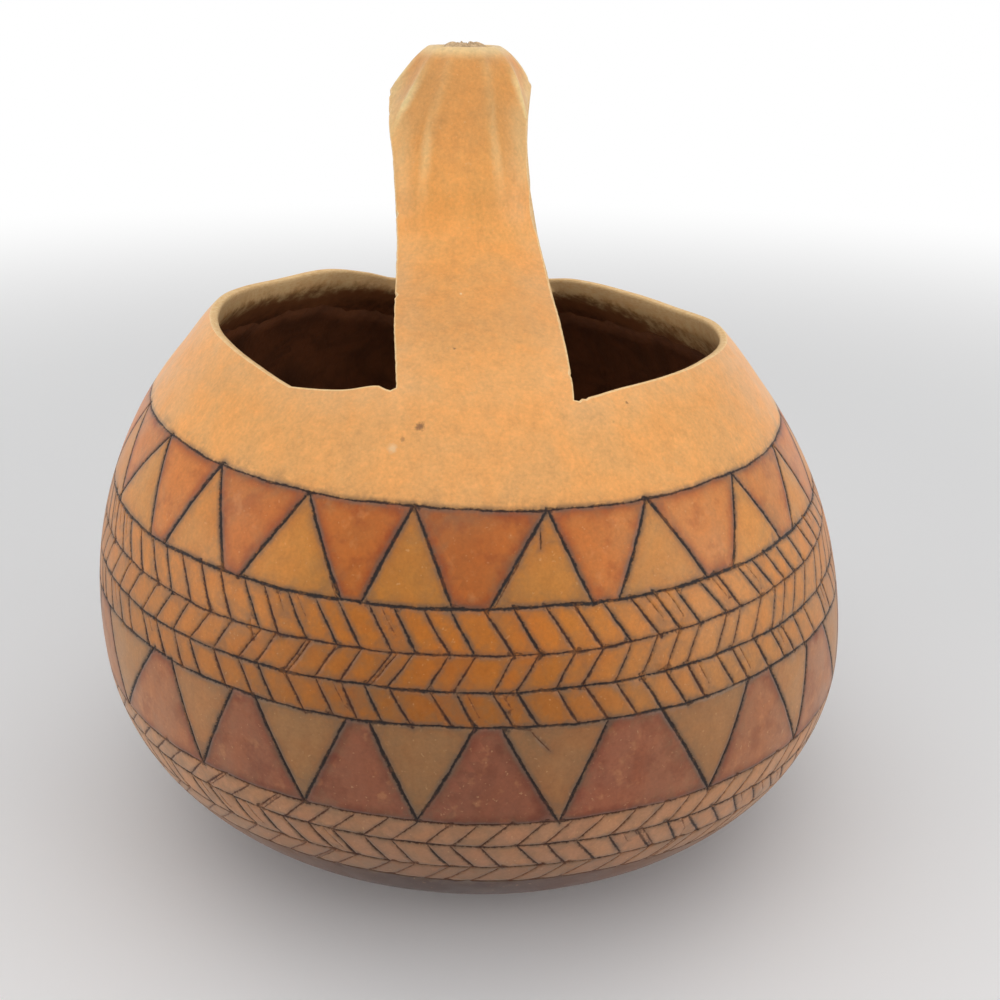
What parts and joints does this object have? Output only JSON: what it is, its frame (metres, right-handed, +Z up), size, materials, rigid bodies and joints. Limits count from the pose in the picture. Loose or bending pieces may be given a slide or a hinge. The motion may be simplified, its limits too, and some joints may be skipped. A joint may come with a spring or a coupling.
{
  "type": "gourd basket",
  "caption": "Round basket made of one dried gourd, with a strap handle sawn from its own neck, and carved bands of triangles and slanting strokes round the belly.",
  "frame": {"origin": "on the table, under the middle of the widest ring", "axes": "+Z up, the front with the pictured side towards -Y, +X to the right seen from the front"},
  "size_m": [0.2002, 0.1999, 0.2046],
  "materials": {
    "rind": "dried gourd rind, waxed to a soft sheen, stained and engraved",
    "skin": "dried inner skin, dull and fibrous",
    "stalk": "dry woody stalk, matt"
  },
  "bodies": {
    "root": {"gourd_shell": "rind", "inner_skin": "skin", "stem_end": "stalk", "blossom_scar": "stalk"}
  },
  "joints": []
}
